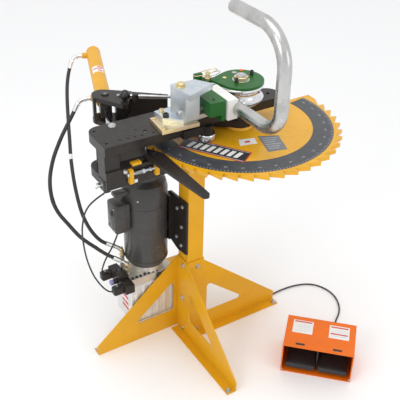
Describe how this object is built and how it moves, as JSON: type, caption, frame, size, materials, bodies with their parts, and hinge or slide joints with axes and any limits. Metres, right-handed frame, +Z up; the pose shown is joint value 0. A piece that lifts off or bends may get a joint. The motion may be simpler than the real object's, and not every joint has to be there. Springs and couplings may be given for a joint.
{
  "type": "hydraulic tube bender",
  "caption": "Hydraulic rotary-draw tube bender on a four-leg stand, with a toothed degree wheel, bend die, vise, electric power unit, hoses and a foot switch.",
  "frame": {"origin": "on the floor on the axis of the square column", "axes": "+Z up, +X from the column along the head frame to the spindle, -Y towards the operator"},
  "size_m": [1.2242, 1.4906, 1.5414],
  "materials": {
    "yellow_enamel": "semi-gloss orange-yellow enamel",
    "black_enamel": "semi-gloss black enamel",
    "motor_grey": "satin dark grey enamel",
    "green_enamel": "satin green enamel",
    "bright_zinc": "bright zinc plate",
    "yellow_zinc": "yellow zinc plate",
    "hard_chrome": "polished hard chrome",
    "bare_steel": "turned steel",
    "tube_steel": "satin drawn tube",
    "cast_aluminium": "cast and machined aluminium",
    "bearing_bronze": "turned bearing bronze",
    "white_block": "white engineering plastic",
    "black_rubber": "black rubber",
    "orange_enamel": "satin orange enamel",
    "black_plastic": "black moulded plastic"
  },
  "bodies": {
    "root": {"column": "yellow_enamel", "leg_right": "yellow_enamel", "leg_front": "yellow_enamel", "leg_left": "yellow_enamel", "leg_back": "yellow_enamel", "frame_top_plate": "black_enamel", "frame_bottom_plate": "black_enamel", "spindle_bush": "bearing_bronze", "rod_anchor_pin": "bare_steel", "wheel_support_roller": "bare_steel", "hold_pawl_pin": "bare_steel", "stop_post_left": "yellow_enamel", "stop_post_right": "yellow_enamel", "stop_rod": "bright_zinc", "vise_adapter_plate": "yellow_zinc", "vise_bracket": "bright_zinc", "motor_shell": "motor_grey", "motor_fan_cover": "motor_grey", "pump_adaptor": "cast_aluminium", "manifold_block": "cast_aluminium", "oil_tank": "cast_aluminium", "gear_pump": "bare_steel", "power_unit_bracket": "black_enamel", "terminal_box": "motor_grey", "solenoid_valve": "black_enamel", "switch_box": "black_enamel", "foot_guard": "orange_enamel", "foot_cord_gland": "black_rubber", "hose_far_lower": "black_rubber", "hose_near_lower": "black_rubber", "foot_cord_floor": "black_rubber", "foot_cord_riser": "black_rubber"},
    "die_wheel": {"degree_wheel": "yellow_enamel", "spindle": "bare_steel", "bend_die": "hard_chrome", "die_top_plate": "green_enamel", "spindle_nut": "bare_steel", "hook_strap": "green_enamel", "hook_bolt": "yellow_zinc"},
    "drive_arm": {"drive_arm_link": "black_enamel", "drive_arm_yoke": "black_enamel", "trunnion_pin": "bare_steel"},
    "rod": {"piston_rod": "hard_chrome", "hose_far_upper": "black_rubber", "hose_near_upper": "black_rubber"},
    "barrel": {"cylinder_barrel": "yellow_enamel", "cylinder_trunnion_block": "black_enamel", "cylinder_rear_cap": "yellow_enamel"},
    "drive_pawl": {"drive_pawl_lever": "black_enamel"},
    "hold_pawl": {"hold_pawl_lever": "black_enamel"},
    "vise_jaw": {"follow_block_carrier": "green_enamel", "follow_block": "white_block", "vise_screw": "bare_steel"},
    "tube": {"sample_tube": "tube_steel"},
    "relief": {"relief_knob": "black_plastic"},
    "toggle": {"power_toggle": "bare_steel"},
    "rotor": {"motor_rotor": "bare_steel"},
    "pedal_left": {"pedal_left": "black_plastic"},
    "pedal_right": {"pedal_right": "black_plastic"}
  },
  "joints": [
    {"name": "die_spindle", "type": "hinge", "parent": "root", "child": "die_wheel", "pos_m": [0.2165, 0, 0.988], "axis": [0, 0, 1], "range_deg": [-180, 0]},
    {"name": "drive_arm_swing", "type": "hinge", "parent": "root", "child": "drive_arm", "pos_m": [0.2165, 0, 1.015], "axis": [0, 0, 1], "range_deg": [-32, 0]},
    {"name": "rod_swing", "type": "hinge", "parent": "root", "child": "rod", "pos_m": [-0.31307, 0.06034, 1.04], "axis": [0, 0, 1], "range_deg": [-16, 0], "deforming": ["hose_far_upper", "hose_near_upper", "hose_far_lower", "hose_near_lower"]},
    {"name": "cylinder_stroke", "type": "slide", "parent": "rod", "child": "barrel", "axis": [0.3428, 0.9394, 0], "range_m": [0, 0.279]},
    {"name": "drive_pawl_swing", "type": "hinge", "parent": "drive_arm", "child": "drive_pawl", "pos_m": [-0.12913, 0.21163, 1.122], "axis": [0, 0, 1], "range_deg": [-12, 12]},
    {"name": "hold_pawl_swing", "type": "hinge", "parent": "root", "child": "hold_pawl", "pos_m": [-0.226, -0.035, 0.996], "axis": [0, 0, 1], "range_deg": [-14, 0]},
    {"name": "vise_travel", "type": "slide", "parent": "root", "child": "vise_jaw", "axis": [-1, 0, 0], "range_m": [0, 0.018]},
    {"name": "tube_feed", "type": "slide", "parent": "root", "child": "tube", "axis": [0, -1, 0], "range_m": [0, 0.35]},
    {"name": "relief_screw", "type": "hinge", "parent": "root", "child": "relief", "pos_m": [-0.13, 0.052, 0.319], "axis": [0, -1, 0], "range_deg": [-360, 360]},
    {"name": "power_toggle_flip", "type": "hinge", "parent": "root", "child": "toggle", "pos_m": [-0.4125, -0.048, 0.925], "axis": [0, 1, 0], "range_deg": [-38, 0]},
    {"name": "motor_spin", "type": "hinge", "parent": "root", "child": "rotor", "pos_m": [-0.15, 0.125, 0.375], "axis": [0, 0, 1], "continuous": true},
    {"name": "pedal_left_press", "type": "hinge", "parent": "root", "child": "pedal_left", "pos_m": [0.37708, -0.36471, 0.03], "axis": [0.7133, -0.7009, 0], "range_deg": [0, 6], "stiffness_Nm_per_rad": 5, "springref_deg": -8.59},
    {"name": "pedal_right_press", "type": "hinge", "parent": "root", "child": "pedal_right", "pos_m": [0.47408, -0.46004, 0.03], "axis": [0.7133, -0.7009, 0], "range_deg": [0, 6], "stiffness_Nm_per_rad": 5, "springref_deg": -8.59}
  ],
  "couplings": [
    {"joint": "rod_swing", "follows": "drive_arm_swing", "ratio": 0.5},
    {"joint": "cylinder_stroke", "follows": "drive_arm_swing", "m_per_rad": -0.4987}
  ]
}
